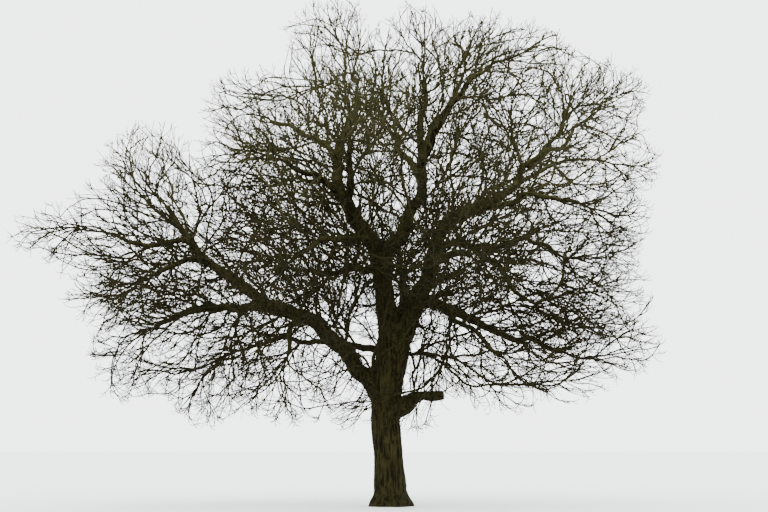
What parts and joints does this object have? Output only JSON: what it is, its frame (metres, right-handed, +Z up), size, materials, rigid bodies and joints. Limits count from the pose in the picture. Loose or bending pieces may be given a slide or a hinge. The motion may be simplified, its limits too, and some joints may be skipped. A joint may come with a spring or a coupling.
{
  "type": "bare oak tree",
  "caption": "Bare, broad-crowned oak tree in winter: a short leaning trunk that forks low, a long low bough on one side, a sawn stub on the other, and fine upturned twigs.",
  "frame": {"origin": "centre of the trunk's flat cut at ground level", "axes": "+Z up, +X towards the side of the tree that has the sawn stub, so that the long low bough is on the -X side, +Y towards the back of the crown as the picture shows it"},
  "size_m": [18.339, 15.5831, 14.7073],
  "materials": {
    "trunk_bark": "deeply fissured dark olive-brown bark",
    "bough_bark": "rough dark bark, mossy on the upper sides",
    "cut_stub": "rough bark with a weathered sawn end",
    "twigs": "smooth grey-brown twig bark"
  },
  "bodies": {
    "root": {"bough_back": "bough_bark", "bough_back_high": "bough_bark", "bough_back_right": "bough_bark", "bough_front_high": "bough_bark", "bough_front_right": "bough_bark", "bough_high_right": "bough_bark", "bough_inner_back": "bough_bark", "bough_inner_front": "bough_bark", "bough_left": "bough_bark", "bough_left_arm": "bough_bark", "bough_left_front": "bough_bark", "bough_left_low": "bough_bark", "bough_left_reach": "bough_bark", "bough_left_shoulder": "bough_bark", "bough_right_back": "bough_bark", "bough_right_front": "bough_bark", "bough_right_hang": "bough_bark", "bough_right_low": "bough_bark", "bough_right_reach": "bough_bark", "bough_right_top": "bough_bark", "bough_right_up": "bough_bark", "bough_top_right": "bough_bark", "bough_under_front": "bough_bark", "bough_under_left": "bough_bark", "bough_upper_left": "bough_bark", "leader_left": "bough_bark", "leader_right": "bough_bark", "leader_second": "bough_bark", "stub_right": "cut_stub", "trunk": "trunk_bark", "twigs_back": "twigs", "twigs_back_high": "twigs", "twigs_back_right": "twigs", "twigs_front_high": "twigs", "twigs_front_right": "twigs", "twigs_high_right": "twigs", "twigs_inner_back": "twigs", "twigs_inner_front": "twigs", "twigs_left_arm": "twigs", "twigs_left_front": "twigs", "twigs_left_leader": "twigs", "twigs_left_low": "twigs", "twigs_left_reach": "twigs", "twigs_left_shoulder": "twigs", "twigs_right_back": "twigs", "twigs_right_front": "twigs", "twigs_right_hang": "twigs", "twigs_right_leader": "twigs", "twigs_right_low": "twigs", "twigs_right_reach": "twigs", "twigs_right_top": "twigs", "twigs_right_up": "twigs", "twigs_second_leader": "twigs", "twigs_top_right": "twigs", "twigs_trunk_right": "twigs", "twigs_under_front": "twigs", "twigs_under_left": "twigs", "twigs_upper_left": "twigs"}
  },
  "joints": []
}
